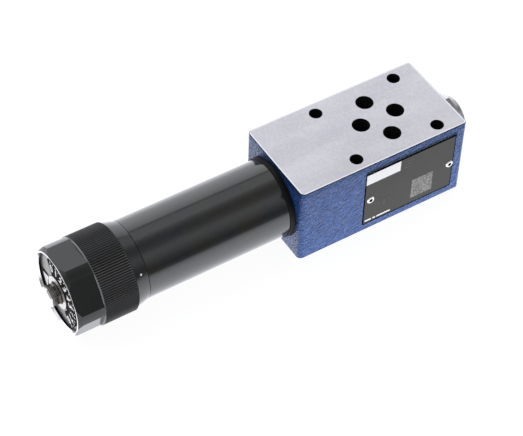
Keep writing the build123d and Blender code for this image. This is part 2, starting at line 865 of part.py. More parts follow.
def hub_collar():
    """The bright collar in the dial's middle, round the spindle's hexagon."""
    x0 = dial_front
    x1 = dial_floor
    r = hub_d / 2
    collar = turned((x0, 0), (x0, r - hub_bevel), (x0 + hub_bevel, r), (x1, r), (x1, 0))
    return collar - drive_hole(x0, x1)


def build():
    """Every piece by its name."""
    return {
        "valve_body": valve_body(),
        "port_seals": port_seals(),
        "name_plate": name_plate(),
        "plate_rivets": plate_rivets(),
        "root_ring": root_ring(),
        "spring_housing": spring_housing(),
        "housing_seal": housing_seal(),
        "thrust_washer": thrust_washer(),
        "adjusting_spindle": adjusting_spindle(),
        "spindle_seal": spindle_seal(),
        "spindle_clip": spindle_clip(),
        "adjusting_nut": adjusting_nut(),
        "main_spring": main_spring(),
        "spring_plate": spring_plate(),
        "control_spool": control_spool(),
        "pilot_orifice": pilot_orifice(),
        "end_plug": end_plug(),
        "end_plug_seal": end_plug_seal(),
        "gauge_plug": gauge_plug(),
        "gauge_plug_seal": gauge_plug_seal(),
        "knob": knob(),
        "knob_set_screw": knob_set_screw(),
        "dial_disc": dial_disc(),
        "hub_collar": hub_collar(),
    }


os.makedirs("parts", exist_ok=True)
for name, solid in build().items():
    export_step(solid, f"parts/{name}.step")
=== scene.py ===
from math import cos, degrees, pi, radians, sin
import bpy
import numpy as np
from mathutils import Matrix, Vector


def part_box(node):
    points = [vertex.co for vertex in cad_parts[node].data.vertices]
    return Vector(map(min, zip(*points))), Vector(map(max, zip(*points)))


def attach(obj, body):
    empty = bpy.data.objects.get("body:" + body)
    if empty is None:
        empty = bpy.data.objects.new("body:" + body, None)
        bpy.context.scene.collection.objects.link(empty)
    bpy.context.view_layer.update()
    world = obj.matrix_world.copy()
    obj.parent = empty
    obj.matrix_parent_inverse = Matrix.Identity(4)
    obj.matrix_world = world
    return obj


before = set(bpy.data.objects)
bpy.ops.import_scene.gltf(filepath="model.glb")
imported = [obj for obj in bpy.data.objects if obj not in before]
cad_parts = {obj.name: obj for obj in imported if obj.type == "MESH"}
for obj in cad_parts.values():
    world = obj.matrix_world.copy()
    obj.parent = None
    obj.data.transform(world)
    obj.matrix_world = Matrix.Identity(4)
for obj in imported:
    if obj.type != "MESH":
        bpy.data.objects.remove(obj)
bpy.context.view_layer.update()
scene = bpy.context.scene
MM = 0.001

# Camera. The valve lies across the picture from lower left to upper right, seen from above its front left
# corner through a long lens, with the horizon tilted by two degrees.
camera_place = Vector((-0.3510143, -0.4447938, 0.6098351))
look_right = Vector((0.84754, -0.53022, 0.02345))
look_up = Vector((0.38342, 0.64223, 0.66372))
look_ahead = Vector((0.36698, 0.55354, -0.74761))
lens_mm = 130.4626
sensor_mm = 36.0
camera_data = bpy.data.cameras.new("camera")
camera_data.lens = lens_mm
camera_data.sensor_width = sensor_mm
camera_data.sensor_fit = "HORIZONTAL"
camera_data.clip_start = 0.01
camera_data.clip_end = 20.0
camera = bpy.data.objects.new("camera", camera_data)
scene.collection.objects.link(camera)
turn = Matrix((look_right, look_up, -look_ahead)).transposed().to_4x4()
camera.matrix_world = Matrix.Translation(camera_place) @ turn
scene.camera = camera
scene.view_settings.view_transform = "Standard"


# Studio. A white table lit from below and a white tent round it, open in front: its light is given by the
# angle round the valve's length, from the front horizon over the top to the back.
table_left, table_right = -0.7, 0.6
table_front, table_back = -0.35, 0.8
table_drop = -0.02 * MM            # just under the seat face
table_glow_near = 1.85
table_glow_far = 0.25
table_fade_near, table_fade_far = -0.012, -0.26
table_knob_share = 0.66             # less light comes up under the knob's end
table_knob_near, table_knob_far = -0.120, -0.135
table_shown_glow = 0.93
table_shown_white = 0.18
tent_tones = (                      # degrees from the front horizon, brightness
    (-180, 1.60), (-144, 1.25), (-100, 1.50), (-32, 0.94), (-17, 0.58), (-12, 0.48), (-7, 0.22),
    (6, 0.15), (16, 0.25), (30, 0.50), (42, 0.66), (50, 0.60), (58, 0.38), (70, 0.26),
    (80, 0.28), (90, 0.50), (99, 0.92), (110, 0.88), (122, 0.84), (124, 0.48), (127, 0.48),
    (130, 1.30), (150, 1.62), (180, 1.60),
)
tent_tint = (0.97, 0.975, 1.03)
tent_end_left = 0.75
tent_end_right = 0.80
tent_end_start, tent_end_full = 0.70, 0.92


def node(tree, kind, inputs=None, **settings):
    """Adds a node. Settings are its own properties; inputs are sockets, each given a value or an output."""
    made = tree.nodes.new("ShaderNode" + kind)
    for key, value in settings.items():
        setattr(made, key, value)
    for key, value in (inputs or {}).items():
        if isinstance(value, bpy.types.NodeSocket):
            tree.links.new(value, made.inputs[key])
        else:
            made.inputs[key].default_value = value
    return made


def sums(tree, operation, first, second=0.0):
    """The result of one sum on two values."""
    return node(tree, "Math", {0: first, 1: second}, operation=operation).outputs[0]


def rise(tree, value, start, end, low=0.0, high=1.0):
    """Goes smoothly from low to high while value goes from start to end."""
    sockets = {"Value": value, "From Min": start, "From Max": end, "To Min": low, "To Max": high}
    return node(tree, "MapRange", sockets, interpolation_type="SMOOTHSTEP").outputs["Result"]


def colours(tree, value, *stops):
    """Turns a value from 0 to 1 into a colour, from (place, colour) stops."""
    made = node(tree, "ValToRGB", {"Fac": value})
    bands = made.color_ramp.elements
    while len(bands) < len(stops):
        bands.new(1.0)
    for band, (place, colour) in zip(bands, stops):
        band.position = place
        band.color = (*colour, 1.0)
    return made.outputs["Color"]


def mixed(tree, mask, low, high):
    """One colour where the mask is 0, the other where it is 1."""
    made = node(tree, "Mix", {0: mask}, data_type="RGBA")
    for socket, colour in ((made.inputs[6], low), (made.inputs[7], high)):
        if isinstance(colour, bpy.types.NodeSocket):
            tree.links.new(colour, socket)
        else:
            socket.default_value = (*colour, 1.0)
    return made.outputs[2]


def new_material(name, fixed):
    """A fresh material with one shader; the fixed values are set on the shader's own sockets."""
    made = bpy.data.materials.new(name)
    made.use_nodes = True
    shader = made.node_tree.nodes["Principled BSDF"]
    for socket, value in fixed.items():
        shader.inputs[socket].default_value = value
    return made, made.node_tree, shader


def mesh_piece(name, points, faces, smooth=False):
    """An object at the origin from point and face arrays, its faces in the order given."""
    mesh = bpy.data.meshes.new(name)
    mesh.from_pydata(np.asarray(points, float).tolist(), [], [list(map(int, face)) for face in faces])
    mesh.polygons.foreach_set("use_smooth", [smooth] * len(mesh.polygons))
    mesh.update()
    made = bpy.data.objects.new(name, mesh)
    scene.collection.objects.link(made)
    return made


table_corners = [
    (table_left, table_front, table_drop),
    (table_right, table_front, table_drop),
    (table_right, table_back, table_drop),
    (table_left, table_back, table_drop),
]
table = mesh_piece("table", table_corners, [(0, 1, 2, 3)])
table_white, tree, shader = new_material(
    "table_white",
    {
        "Base Color": (table_shown_white,) * 3 + (1.0,),
        "Roughness": 0.8,
        "Specular IOR Level": 0.0,
        "Emission Color": (1.0, 1.0, 1.0, 1.0),
        "Emission Strength": table_shown_glow,
    },
)
place = node(tree, "TexCoord").outputs["Object"]
across = node(tree, "SeparateXYZ", {0: place}).outputs
glow = rise(tree, across["Y"], table_fade_far, table_fade_near, table_glow_far, table_glow_near)
knob_end = rise(tree, across["X"], table_knob_far, table_knob_near, table_knob_share, 1.0)
glow = sums(tree, "MULTIPLY", glow, knob_end)
bright = node(tree, "Emission", {"Color": (*tent_tint, 1.0), "Strength": glow})
seen = node(tree, "LightPath").outputs["Is Camera Ray"]
either = node(tree, "MixShader", {0: seen, 1: bright.outputs[0], 2: shader.outputs[0]})
tree.links.new(either.outputs[0], tree.nodes["Material Output"].inputs["Surface"])
table.data.materials.append(table_white)

tent = bpy.data.worlds.new("tent")
scene.world = tent
tent.use_nodes = True
tree = tent.node_tree
parts = node(tree, "SeparateXYZ", {0: node(tree, "TexCoord").outputs["Generated"]})
front = sums(tree, "MULTIPLY", parts.outputs["Y"], -1.0)
round_angle = sums(tree, "ARCTAN2", parts.outputs["Z"], front)
share = sums(tree, "ADD", sums(tree, "DIVIDE", round_angle, 2 * pi), 0.5)
brightest = max(tone for _, tone in tent_tones)


def tent_stop(angle, tone):
    """One stop of the tent's light: its place from 0 to 1, and its tinted brightness."""
    return (angle + 180) / 360, [tone / brightest * c / max(tent_tint) for c in tent_tint]


walls = colours(tree, share, *[tent_stop(angle, tone) for angle, tone in tent_tones])
right_end = rise(tree, parts.outputs["X"], tent_end_start, tent_end_full)
left_end = rise(tree, parts.outputs["X"], -tent_end_start, -tent_end_full)
walls = mixed(tree, right_end, walls, [tent_end_right / brightest] * 3)
walls = mixed(tree, left_end, walls, [tent_end_left / brightest] * 3)
lit = node(tree, "Background", {"Color": walls, "Strength": brightest * max(tent_tint)})
plain = node(tree, "Background", {"Color": (1.0, 1.0, 1.0, 1.0), "Strength": 1.0})
seen = node(tree, "LightPath").outputs["Is Camera Ray"]
either = node(tree, "MixShader", {0: seen, 1: lit.outputs[0], 2: plain.outputs[0]})
tree.links.new(either.outputs[0], tree.nodes["World Output"].inputs["Surface"])


# Block. One iron casting: its sides keep the cast skin under thick blue paint, the top and bottom are
# ground bare after painting, and the ports, bolt holes and spool bore are drilled, their bare walls painted
# near-black as painted shade.
block_low, block_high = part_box("valve_body")
ground_depth = 0.04 * MM
ground_highlight_width = 0.75 * MM             # painted highlight along the ground face's own edge
ground_soft = 0.04 * MM
ground_highlight_soft, ground_highlight_share = 0.3 * MM, 0.8
edge_shade_start, edge_shade_full = 0.85 * MM, 0.2975 * MM    # painted shade: the paint darkens along the ground edges
foot_shade_start, foot_shade_full, foot_share = 0.51 * MM, 0.085 * MM, 0.6
edge_shade_share, end_shade_share = 0.85, 0.50
bore_inset, bore_skin = 1.05 * MM, 0.06 * MM
pocket_lip, pocket_reach = 0.08 * MM, 1.0 * MM
lip_shade_start, lip_shade_full = 4.0 * MM, 1.2 * MM     # painted shadow above the plate's pocket
lip_shade_side = 0.6 * MM
lip_shade = 1.0
fade_start, fade_full, fade_share = 4.0 * MM, 1.6 * MM, 0.35     # and a little painted shade under the top edge
pocket_shade_tone = (0.001, 0.002, 0.006)      # painted shade on the plate pocket's walls
paint_deep = (0.002, 0.036, 0.185)
paint_light = (0.013, 0.106, 0.400)
paint_shade_tone = (0.002, 0.014, 0.050)
paint_sheen = (0.76, 0.86, 1.0)
paint_shine = 0.42
paint_rough, paint_smooth = 0.36, 0.20       # in the skin's hollows and on its lumps
ground_rough, bore_rough = 0.46, 0.35
ground_tone = (0.680, 0.673, 0.697)
ground_highlight_tone = (0.93, 0.93, 0.94)
ground_shade = (0.570, 0.562, 0.592)
bore_shade_tone = (0.010, 0.010, 0.009)
skin_lump_size = 0.82 * MM
skin_lump_height = 1.15 * MM
skin_lump_stretch = (0.50, 0.9, 1.35)
skin_lump_lean = radians(25)       # the lumps run a little uphill along the valve
skin_wave_size = 6.0 * MM
skin_wave_height = 0.10 * MM
grinding_pitch, grinding_depth = 0.35 * MM, 0.0015 * MM
line_share, stain_share, grain_share = 0.15, 0.45, 0.40
stain_size, grain_size, stain_stretch = 14 * MM, 0.9 * MM, (0.35, 1.0, 1.0)


def effect(name, inputs, outputs):
    """An empty node group: named inputs, each a (kind, value) pair, and named outputs with their kinds."""
    tree = bpy.data.node_groups.new(name, "ShaderNodeTree")
    for label, (kind, value) in inputs.items():
        socket = tree.interface.new_socket(label, in_out="INPUT", socket_type="NodeSocket" + kind)
        if value is not None:
            socket.default_value = value
    for label, kind in outputs.items():
        tree.interface.new_socket(label, in_out="OUTPUT", socket_type="NodeSocket" + kind)
    return tree, tree.nodes.new("NodeGroupInput").outputs, tree.nodes.new("NodeGroupOutput").inputs


def place_effect(tree, group, inputs):
    """Puts an effect into a material with its own values."""
    made = tree.nodes.new("ShaderNodeGroup")
    made.node_tree = group
    for key, value in inputs.items():
        if isinstance(value, bpy.types.NodeSocket):
            tree.links.new(value, made.inputs[key])
        else:
            made.inputs[key].default_value = value
    return made.outputs


# The band effect: a mask that is 1 between two values, with soft ends.
band, given, result = effect(
    "band",
    {"Value": ("Float", 0.0), "Start": ("Float", 0.0), "End": ("Float", 1.0), "Soft": ("Float", 0.0001)},
    {"Mask": "Float"},
)
low_edge = sums(band, "DIVIDE", sums(band, "SUBTRACT", given["Value"], given["Start"]), given["Soft"])
high_edge = sums(band, "DIVIDE", sums(band, "SUBTRACT", given["End"], given["Value"]), given["Soft"])
inside = sums(band, "MINIMUM", rise(band, low_edge, -0.5, 0.5), rise(band, high_edge, -0.5, 0.5))
band.links.new(inside, result["Mask"])

# The mottle effect: a slow uneven tone over a surface, and its height.
mottle, given, result = effect(
    "mottle",
    {
        "Place": ("Vector", None),
        "Size": ("Float", 0.001),
        "Stretch": ("Vector", (1.0, 1.0, 1.0)),
        "Fine": ("Float", 2.0),
    },
    {"Tone": "Float"},
)
stretched = node(mottle, "VectorMath", {0: given["Place"], 1: given["Stretch"]}, operation="MULTIPLY")
scaled = sums(mottle, "DIVIDE", 1.0, given["Size"])
cloud = node(
    mottle,
    "TexNoise",
    {"Vector": stretched.outputs[0], "Scale": scaled, "Detail": given["Fine"], "Roughness": 0.5},
)
mottle.links.new(cloud.outputs[0], result["Tone"])

blue_casting, tree, shader = new_material("blue_casting", {"IOR": 1.5, "Specular IOR Level": paint_shine})
plate_low, plate_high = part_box("name_plate")
coords = node(tree, "TexCoord").outputs
place = coords["Object"]
where = node(tree, "SeparateXYZ", {0: place}).outputs
facing = node(tree, "SeparateXYZ", {0: coords["Normal"]}).outputs
end_face = rise(tree, sums(tree, "ABSOLUTE", facing["X"]), 0.6, 0.9)


def between(tree, value, start, end, soft=0.05 * MM):
    """Places the band effect: 1 from start to end, with soft ends."""
    return place_effect(tree, band, {"Value": value, "Start": start, "End": end, "Soft": soft})["Mask"]


high_up = rise(tree, where["Z"], block_high.z - ground_depth, block_high.z - ground_depth + ground_soft)
low_down = rise(tree, where["Z"], block_low.z + ground_depth, block_low.z)
flat = rise(tree, sums(tree, "ABSOLUTE", facing["Z"]), 0.4, 0.6)
ground = sums(tree, "MULTIPLY", sums(tree, "MAXIMUM", high_up, low_down), flat)
in_x = between(tree, where["X"], block_low.x + bore_inset, block_high.x - bore_inset)
in_y = between(tree, where["Y"], block_low.y + bore_inset, block_high.y - bore_inset)
in_z = between(tree, where["Z"], block_low.z + bore_skin, block_high.z - bore_skin)
bored = sums(tree, "MULTIPLY", sums(tree, "MULTIPLY", in_x, in_y), in_z)
leaning = node(tree, "VectorRotate", {"Vector": place, "Angle": skin_lump_lean}, rotation_type="Y_AXIS")
lumps = place_effect(
    tree,
    mottle,
    {"Place": leaning.outputs[0], "Size": skin_lump_size, "Stretch": skin_lump_stretch, "Fine": 2.0},
)["Tone"]
waves = place_effect(tree, mottle, {"Place": place, "Size": skin_wave_size, "Fine": 1.0})["Tone"]
lines = place_effect(
    tree, mottle, {"Place": place, "Size": grinding_pitch, "Stretch": (0.02, 1.0, 1.0), "Fine": 3.0}
)["Tone"]
stains = place_effect(tree, mottle, {"Place": place, "Size": stain_size, "Stretch": stain_stretch})["Tone"]
grains = place_effect(tree, mottle, {"Place": place, "Size": grain_size, "Fine": 4.0})["Tone"]
paint = colours(tree, lumps, (0.33, paint_deep), (0.66, paint_light))
# painted shade: the paint darkens under the top edge, over the foot and on the end faces
under_edge = rise(tree, where["Z"], block_high.z - edge_shade_start, block_high.z - edge_shade_full)
over_edge = rise(tree, where["Z"], block_low.z + foot_shade_start, block_low.z + foot_shade_full)
edge_and_end_shade = sums(tree, "MAXIMUM", under_edge, sums(tree, "MULTIPLY", over_edge, foot_share))
edge_and_end_shade = sums(tree, "MULTIPLY", edge_and_end_shade, edge_shade_share)
edge_and_end_shade = sums(tree, "MAXIMUM", edge_and_end_shade, sums(tree, "MULTIPLY", end_face, end_shade_share))
paint = mixed(tree, edge_and_end_shade, paint, paint_shade_tone)
ground_mix = sums(tree, "MULTIPLY", lines, line_share)
ground_mix = sums(tree, "ADD", ground_mix, sums(tree, "MULTIPLY", stains, stain_share))
ground_mix = sums(tree, "ADD", ground_mix, sums(tree, "MULTIPLY", grains, grain_share))
bare = colours(tree, ground_mix, (0.40, ground_shade), (0.60, ground_tone))
# painted highlight: the bare colour turns near-white along the outer edge of the ground faces
inner_x = between(tree, where["X"], block_low.x + ground_highlight_width, block_high.x - ground_highlight_width, ground_highlight_soft)
inner_y = between(tree, where["Y"], block_low.y + ground_highlight_width, block_high.y - ground_highlight_width, ground_highlight_soft)
outer = sums(tree, "SUBTRACT", 1.0, sums(tree, "MULTIPLY", inner_x, inner_y))
bare = mixed(tree, sums(tree, "MULTIPLY", outer, ground_highlight_share), bare, ground_highlight_tone)
# painted shade on the walls of the plate's pocket
pocket_x = between(tree, where["X"], plate_low.x - pocket_reach, plate_high.x + pocket_reach)
pocket_y = between(tree, where["Y"], block_low.y + pocket_lip, block_low.y + pocket_reach)
pocket_z = between(tree, where["Z"], plate_low.z - pocket_reach, plate_high.z + pocket_reach)
pocket_shade = sums(tree, "MULTIPLY", sums(tree, "MULTIPLY", pocket_x, pocket_z), pocket_y)
# painted shadow: the front face above the plate goes near-black
lip_shadow = rise(tree, where["Z"], plate_high.z + lip_shade_start, plate_high.z + lip_shade_full)
lip_left, lip_right = plate_low.x - lip_shade_side, plate_high.x + lip_shade_side
lip_span = between(tree, where["X"], lip_left, lip_right, lip_shade_side)
lip_above = rise(tree, where["Z"], plate_high.z - 2 * MM, plate_high.z - 1 * MM)
lip_shadow = sums(tree, "MULTIPLY", sums(tree, "MULTIPLY", lip_shadow, lip_span), lip_above)
lip_front = rise(tree, facing["Y"], -0.8, -0.95)
lip_shadow = sums(tree, "MULTIPLY", sums(tree, "MULTIPLY", lip_shadow, lip_front), lip_shade)
top_edge_shade = rise(tree, where["Z"], block_high.z - fade_start, block_high.z - fade_full, 0.0, fade_share)
# painted shade and shadow: pocket walls, above the plate and under the top edge
pocket_lip_top_shade = sums(tree, "MAXIMUM", pocket_shade, sums(tree, "MAXIMUM", lip_shadow, top_edge_shade))
paint = mixed(tree, pocket_lip_top_shade, paint, pocket_shade_tone)
skin = mixed(tree, ground, paint, bare)
# painted shade inside the holes: near-black on the bare iron
skin = mixed(tree, bored, skin, bore_shade_tone)
bare_mask = sums(tree, "MULTIPLY", ground, sums(tree, "SUBTRACT", 1.0, bored))
paint_gloss = rise(tree, lumps, 0.35, 0.60, paint_rough, paint_smooth)
gloss = rise(tree, bare_mask, 0.0, 1.0, paint_gloss, ground_rough)
gloss = sums(tree, "ADD", gloss, sums(tree, "MULTIPLY", bored, bore_rough))
relief = sums(tree, "MULTIPLY", lumps, skin_lump_height)
relief = sums(tree, "ADD", relief, sums(tree, "MULTIPLY", waves, skin_wave_height))
cast = sums(tree, "SUBTRACT", 1.0, sums(tree, "MAXIMUM", ground, bored))
relief = sums(tree, "MULTIPLY", relief, cast)
relief = sums(tree, "ADD", relief, sums(tree, "MULTIPLY", lines, grinding_depth))
soft_edge = node(tree, "Bevel", {"Radius": 0.12 * MM}, samples=4).outputs["Normal"]
bumped = node(tree, "Bump", {"Height": relief, "Normal": soft_edge, "Strength": 1.0, "Distance": 1.0})
tree.links.new(mixed(tree, ground, paint_sheen, (1.0, 1.0, 1.0)), shader.inputs["Specular Tint"])
tree.links.new(skin, shader.inputs["Base Color"])
tree.links.new(gloss, shader.inputs["Roughness"])
# painted shade also takes the paint's shine away, through Metallic on its near-black colour
all_paint_shade = sums(tree, "MAXIMUM", sums(tree, "MAXIMUM", under_edge, over_edge), pocket_lip_top_shade)
tree.links.new(sums(tree, "MAXIMUM", bare_mask, all_paint_shade), shader.inputs["Metallic"])
tree.links.new(bumped.outputs[0], shader.inputs["Normal"])


def dress(name, material):
    """Gives a CAD node its material."""
    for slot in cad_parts[name].material_slots:
        slot.material = material


dress("valve_body", blue_casting)


# Name plate. A thin aluminium sheet, printed matt brown-black, glued in the front pocket and riveted. It
# carries plain fields and ruled lines, in ink a few hundredths of a millimetre thick.
ink = 0.03 * MM
lip_shadow_top, lip_shadow_left = 0.75 * MM, 0.40 * MM      # painted shadow beside the pocket's lip
lip_shadow_soft = 0.25 * MM
panel_left, panel_right = -18.2 * MM, -0.95 * MM
panel_bottom, panel_top = 27.9 * MM, 33.7 * MM
speckle_left, speckle_right = 6.05 * MM, 17.05 * MM
speckle_bottom, speckle_top = 6.7 * MM, 18.0 * MM
strip_bottom, strip_top = 4.75 * MM, 5.6 * MM
strip_dashes_mm = ((-17.5, -14.2), (-13.4, -12.0), (-11.3, -4.4))
plate_sheen, plate_shine = (1.0, 0.975, 0.93), 0.335
plate_shadow_tone = (0.002, 0.002, 0.003)
sketch_line = 0.16 * MM
sketch_boxes_mm = ((-10.9, 10.2, -8.1, 14.8), (-8.1, 10.2, -5.3, 14.8))
faint_rows_mm = ((0.9, 31.6, 5.2), (0.9, 29.9, 3.9), (0.9, 28.2, 4.6))
faint_row_height = 0.35 * MM


def plate_bars(name, bars):
    """Thin printed bars on the plate, each from its left, bottom, right and top: a box's corners scaled."""
    bars = np.asarray(bars, float)
    front = [(0, 0, 0), (1, 0, 0), (1, 0, 1), (0, 0, 1)]
    corners = np.array(front + [(x, 1, z) for x, _, z in front])
    low = np.stack([bars[:, 0], np.full(len(bars), plate_low.y - ink), bars[:, 1]], 1)
    size = np.stack([bars[:, 2] - bars[:, 0], np.full(len(bars), ink), bars[:, 3] - bars[:, 1]], 1)
    points = (low[:, None] + corners[None] * size[:, None]).reshape(-1, 3)
    sides = np.array([(0, 1, 2, 3), (5, 4, 7, 6), (4, 0, 3, 7), (1, 5, 6, 2), (3, 2, 6, 7), (4, 5, 1, 0)])
    faces = (sides[None] + 8 * np.arange(len(bars))[:, None, None]).reshape(-1, 4)
    return mesh_piece(name, points, faces)


plate_black, tree, shader = new_material("plate_black", {"IOR": 1.42, "Specular Tint": (*plate_sheen, 1.0)})
place = node(tree, "TexCoord").outputs["Object"]
grain = place_effect(tree, mottle, {"Place": place, "Size": 0.25 * MM, "Fine": 2.0})["Tone"]
drift = place_effect(tree, mottle, {"Place": place, "Size": 11 * MM, "Fine": 1.0})["Tone"]
tone = sums(tree, "ADD", sums(tree, "MULTIPLY", grain, 0.45), sums(tree, "MULTIPLY", drift, 0.55))
ink_tone = colours(tree, tone, (0.34, (0.013, 0.013, 0.010)), (0.66, (0.030, 0.029, 0.022)))
forward = node(tree, "SeparateXYZ", {0: node(tree, "TexCoord").outputs["Normal"]}).outputs["Y"]
where = node(tree, "SeparateXYZ", {0: place}).outputs
shadow_top = rise(tree, where["Z"], plate_high.z - lip_shadow_top, plate_high.z - lip_shadow_top + lip_shadow_soft)
shadow_left = rise(tree, where["X"], plate_low.x + lip_shadow_left, plate_low.x + lip_shadow_left - lip_shadow_soft)
# painted shadow: the plate's side faces and strips along its top and left edges go black and lose their
# shine
sides = sums(tree, "MAXIMUM", rise(tree, forward, -0.9, -0.5), sums(tree, "MAXIMUM", shadow_top, shadow_left))
tree.links.new(mixed(tree, sides, ink_tone, plate_shadow_tone), shader.inputs["Base Color"])
shine = sums(tree, "MULTIPLY", sums(tree, "SUBTRACT", 1.0, sides), plate_shine)
tree.links.new(shine, shader.inputs["Specular IOR Level"])
tree.links.new(rise(tree, tone, 0.3, 0.7, 0.30, 0.40), shader.inputs["Roughness"])
bumped = node(tree, "Bump", {"Height": grain, "Strength": 0.25, "Distance": 0.02 * MM})
tree.links.new(bumped.outputs[0], shader.inputs["Normal"])
dress("name_plate", plate_black)

ink_white, tree, shader = new_material("ink_white", {"IOR": 1.45, "Specular IOR Level": 0.4})
place = node(tree, "TexCoord").outputs["Object"]
cover = place_effect(tree, mottle, {"Place": place, "Size": 0.5 * MM, "Fine": 3.0})["Tone"]
white = colours(tree, cover, (0.3, (0.94, 0.94, 0.93)), (0.6, (0.98, 0.98, 0.97)))
tree.links.new(white, shader.inputs["Base Color"])
tree.links.new(rise(tree, cover, 0.3, 0.7, 0.35, 0.45), shader.inputs["Roughness"])

ink_faint, tree, shader = new_material("ink_faint", {"IOR": 1.42, "Specular IOR Level": 0.42})
place = node(tree, "TexCoord").outputs["Object"]
cover = place_effect(tree, mottle, {"Place": place, "Size": 0.4 * MM, "Fine": 3.0})["Tone"]
faint = colours(tree, cover, (0.35, (0.045, 0.044, 0.040)), (0.7, (0.105, 0.104, 0.098)))
tree.links.new(faint, shader.inputs["Base Color"])
tree.links.new(rise(tree, cover, 0.3, 0.7, 0.35, 0.42), shader.inputs["Roughness"])

ink_speckled, tree, shader = new_material("ink_speckled", {"IOR": 1.42, "Specular IOR Level": 0.42})
place = node(tree, "TexCoord").outputs["Object"]
specks = place_effect(tree, mottle, {"Place": place, "Size": 0.9 * MM, "Fine": 4.0})["Tone"]
speckled = colours(tree, specks, (0.34, (0.050, 0.049, 0.044)), (0.68, (0.32, 0.32, 0.30)))
tree.links.new(speckled, shader.inputs["Base Color"])
tree.links.new(rise(tree, specks, 0.3, 0.7, 0.36, 0.44), shader.inputs["Roughness"])

panel = plate_bars("plate_panel", [(panel_left, panel_bottom, panel_right, panel_top)])
dashes = [(left * MM, strip_bottom, right * MM, strip_top) for left, right in strip_dashes_mm]
strip = plate_bars("plate_strip", dashes)
speckle = plate_bars("plate_speckle", [(speckle_left, speckle_bottom, speckle_right, speckle_top)])
lines = []
for x0, z0, x1, z1 in np.array(sketch_boxes_mm) * MM:
    lines += [(x0, z0, x1, z0 + sketch_line), (x0, z1 - sketch_line, x1, z1)]
    lines += [(x0, z0, x0 + sketch_line, z1), (x1 - sketch_line, z0, x1, z1)]
lines += [(x * MM, z * MM, (x + length) * MM, z * MM + faint_row_height) for x, z, length in faint_rows_mm]
sketch = plate_bars("plate_lines", lines)
plate_prints = ((panel, ink_white), (strip, ink_white), (speckle, ink_speckled), (sketch, ink_faint))
for piece, finish in plate_prints:
    piece.data.materials.append(finish)
    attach(piece, "valve_block")


# Rivets. Two nickel-plated hollow steel rivets, driven into the block through the plate. Their heads are
# pressed down on the plate, and the holes in their eyes are painted near-black as painted shade.
eye_r = 0.9 * MM
rivet_nickel, tree, shader = new_material("rivet_nickel", {"Metallic": 1.0, "IOR": 2.0})
place = node(tree, "TexCoord").outputs["Object"]
wear = place_effect(tree, mottle, {"Place": place, "Size": 0.4 * MM, "Fine": 3.0})["Tone"]
nickel = colours(tree, wear, (0.3, (0.80, 0.79, 0.77)), (0.7, (0.93, 0.92, 0.90)))
rivet_low, rivet_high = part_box("plate_rivets")
head_r = (rivet_high.z - rivet_low.z) / 2
where = node(tree, "SeparateXYZ", {0: place}).outputs
middle = (rivet_low.x + rivet_high.x) / 2
half_span = (rivet_high.x - rivet_low.x) / 2 - head_r
along = sums(tree, "ABSOLUTE", sums(tree, "SUBTRACT", where["X"], middle))
along = sums(tree, "SUBTRACT", along, half_span)
over = sums(tree, "SUBTRACT", where["Z"], (rivet_low.z + rivet_high.z) / 2)
square = sums(tree, "ADD", sums(tree, "MULTIPLY", along, along), sums(tree, "MULTIPLY", over, over))
# painted shade: the hole in each rivet's eye is near-black
eye_shade = rise(tree, sums(tree, "SQRT", square), eye_r + 0.06 * MM, eye_r)
tree.links.new(mixed(tree, eye_shade, nickel, (0.01, 0.01, 0.01)), shader.inputs["Base Color"])
tree.links.new(rise(tree, wear, 0.3, 0.7, 0.30, 0.42), shader.inputs["Roughness"])
dress("plate_rivets", rivet_nickel)


# Spring housing and its root ring. Turned from aluminium bar and anodised black: a smooth satin tube that
# shows the tent round it, with faint turning marks.
axis_height = (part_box("spring_housing")[0].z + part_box("spring_housing")[1].z) / 2
anodised_tone = (0.0118, 0.0138, 0.0118)
anodised_shade = (0.0078, 0.0094, 0.0078)
housing_shine, housing_gloss = 0.485, 0.12
housing_sheen = (0.955, 0.970, 0.965)
housing_edge, housing_edge_share = (0.10, 0.10, 0.10), 0.3
housing_cool, housing_warm = (0.004, 0.012, 0.022), (0.024, 0.019, 0.003)
housing_tint_share = 0.3
housing_cloud, housing_cloud_share = (0.030, 0.032, 0.030), 0.2

# The turned effect: place along the valve's axis and away from it, and the fine marks that a lathe leaves.
turned, given, result = effect(
    "turned",
    {"Place": ("Vector", None), "Axis height": ("Float", 0.02), "Pitch": ("Float", 0.0002)},
    {"Along": "Float", "Radius": "Float", "Marks": "Float"},
)
where = node(turned, "SeparateXYZ", {0: given["Place"]}).outputs
over = sums(turned, "SUBTRACT", where["Z"], given["Axis height"])
side_square = sums(turned, "MULTIPLY", where["Y"], where["Y"])
square = sums(turned, "ADD", side_square, sums(turned, "MULTIPLY", over, over))
radius = sums(turned, "SQRT", square)
row = sums(turned, "DIVIDE", sums(turned, "ADD", where["X"], radius), given["Pitch"])
marks = node(turned, "TexNoise", {"W": row, "Scale": 1.0, "Detail": 2.0}, noise_dimensions="1D")
turned.links.new(where["X"], result["Along"])
turned.links.new(radius, result["Radius"])
turned.links.new(marks.outputs[0], result["Marks"])

# The worn edge effect: a mask along sharp edges, from how far a rounded normal leaves the true one.
worn_edge, given, result = effect("worn_edge", {"Limit": ("Float", 0.1)}, {"Mask": "Float"})
true_normal = node(worn_edge, "NewGeometry").outputs["Normal"]
round_normal = node(worn_edge, "Bevel", {"Radius": 0.25 * MM}, samples=6).outputs["Normal"]
apart = node(worn_edge, "VectorMath", {0: true_normal, 1: round_normal}, operation="DOT_PRODUCT")
off = sums(worn_edge, "SUBTRACT", 1.0, apart.outputs["Value"])
worn_edge.links.new(rise(worn_edge, off, 0.01, given["Limit"]), result["Mask"])


